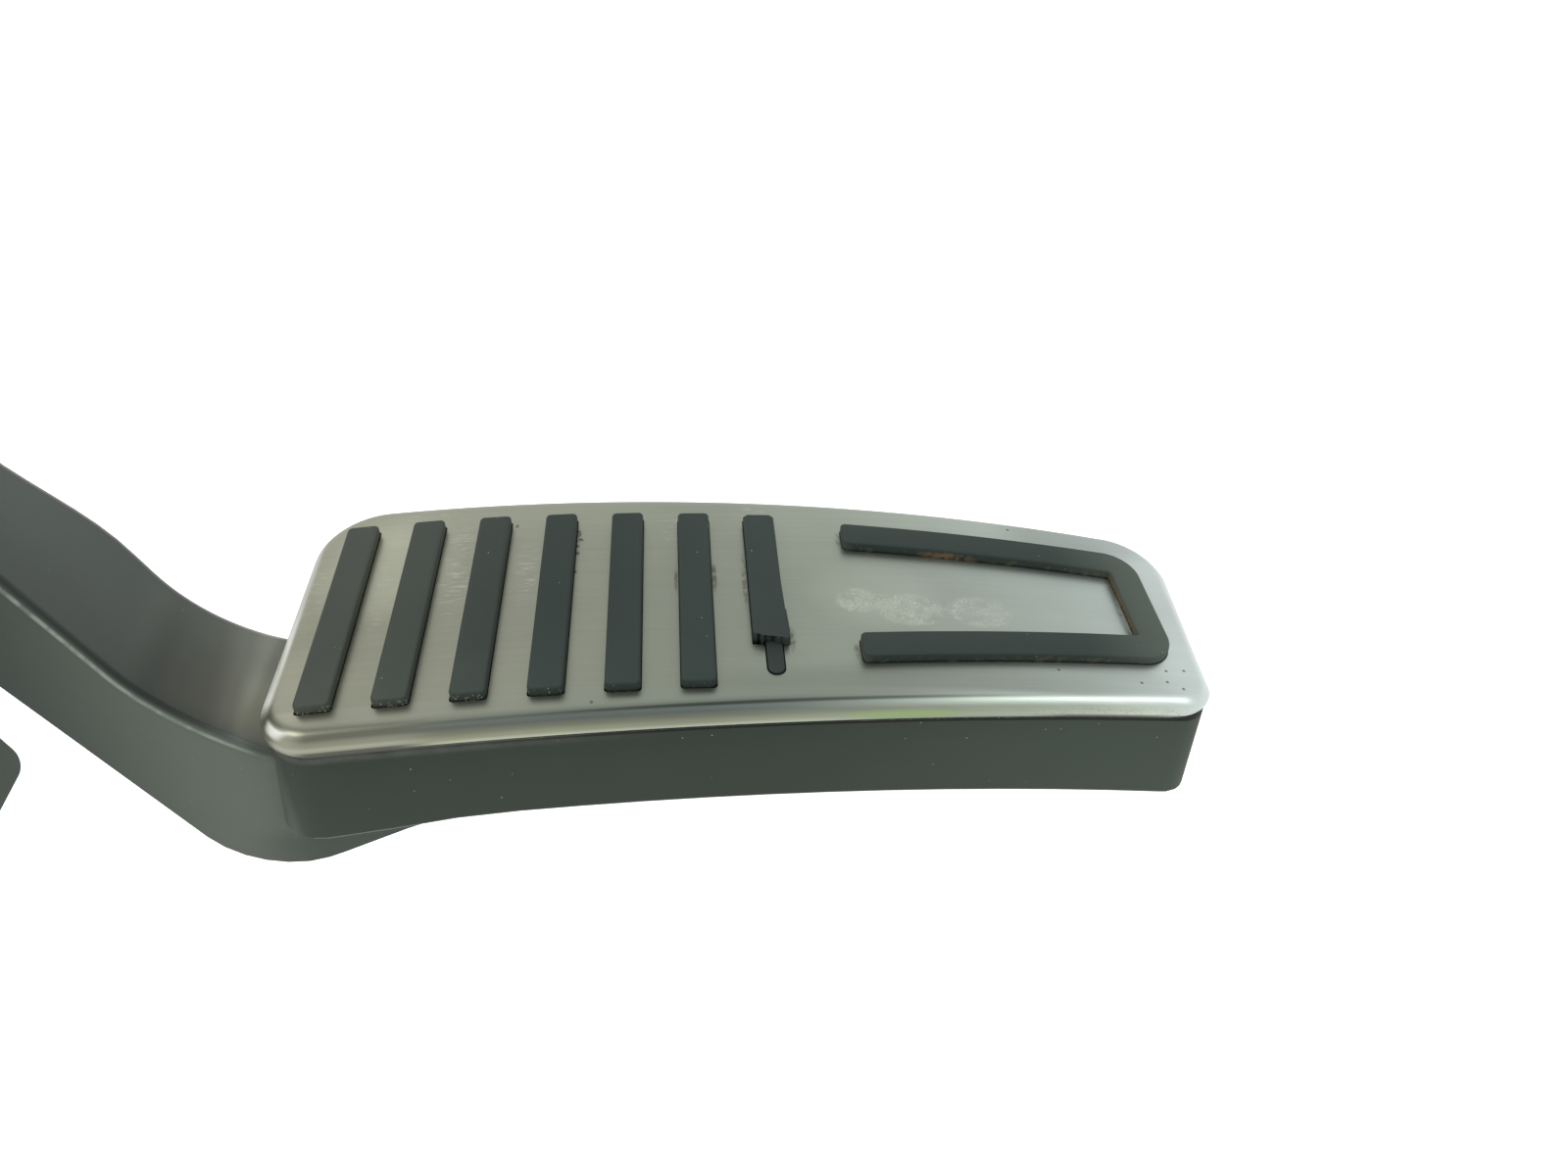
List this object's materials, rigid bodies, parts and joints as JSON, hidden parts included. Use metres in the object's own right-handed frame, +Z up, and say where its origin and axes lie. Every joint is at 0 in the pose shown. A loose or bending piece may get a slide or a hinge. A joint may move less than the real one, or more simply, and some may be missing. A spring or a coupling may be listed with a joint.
{
  "type": "accelerator pedal module",
  "caption": "Hanging accelerator pedal: a curved plastic arm on a wall-mounted spring and sensor housing, and a foot pad with a slotted steel cover over a rubber sheet with raised bars",
  "frame": {"origin": "centre of the housing's mounting face, level with the pivot shaft", "axes": "X from the bulkhead to the driver, Y across the car away from the side cover, Z up"},
  "size_m": [0.1977, 0.0685, 0.2393],
  "materials": {
    "pad_cover": "finely brushed stainless sheet, scuffed",
    "pad_rubber": "satin dark slate rubber",
    "pad_carrier": "matt dark grey-green moulding",
    "carrier_screws": "zinc-plated steel",
    "pedal_arm": "satin dark grey-green moulding",
    "pivot_shaft": "ground steel",
    "magnet_carrier": "black moulding",
    "ring_magnet": "sintered grey magnet",
    "housing": "matt dark slate moulding",
    "side_cover": "matt dark slate moulding",
    "side_cover_screws": "zinc-plated steel",
    "shaft_bush_near": "plain bronze bearing metal",
    "shaft_bush_far": "plain bronze bearing metal",
    "bolt_sleeves": "turned steel",
    "idle_stop": "black rubber",
    "full_travel_stop": "black rubber",
    "spring_seat": "natural acetal",
    "return_spring_outer": "spring steel wire",
    "return_spring_inner": "spring steel wire",
    "sensor_cover": "black moulding",
    "sensor_cover_screws": "zinc-plated steel",
    "sensor_seal": "black rubber",
    "sensor_board": "green lacquered circuit board",
    "connector_terminals": "tin-plated brass blades"
  },
  "bodies": {
    "base": {"housing": "housing", "side_cover": "side_cover", "side_cover_screws": "side_cover_screws", "shaft_bush_near": "shaft_bush_near", "shaft_bush_far": "shaft_bush_far", "bolt_sleeves": "bolt_sleeves", "idle_stop": "idle_stop", "full_travel_stop": "full_travel_stop", "return_spring_outer": "return_spring_outer", "return_spring_inner": "return_spring_inner", "sensor_cover": "sensor_cover", "sensor_cover_screws": "sensor_cover_screws", "sensor_seal": "sensor_seal", "sensor_board": "sensor_board", "connector_terminals": "connector_terminals"},
    "pedal": {"pad_cover": "pad_cover", "pad_rubber": "pad_rubber", "pad_carrier": "pad_carrier", "carrier_screws": "carrier_screws", "pedal_arm": "pedal_arm", "pivot_shaft": "pivot_shaft", "magnet_carrier": "magnet_carrier", "ring_magnet": "ring_magnet"},
    "seat": {"spring_seat": "spring_seat"}
  },
  "joints": [
    {"name": "pedal_pivot", "type": "hinge", "parent": "base", "child": "pedal", "pos_m": [0.035, 0, 0], "axis": [0, 1, 0], "range_deg": [0, 16], "stiffness_Nm_per_rad": 7.5, "springref_deg": -22.35},
    {"name": "seat_slide", "type": "slide", "parent": "base", "child": "seat", "axis": [0, 0, 1], "range_m": [0, 0.0063], "deforming": ["return_spring_outer", "return_spring_inner"]}
  ],
  "couplings": [
    {"joint": "seat_slide", "follows": "pedal_pivot", "m_per_rad": 0.02193}
  ]
}
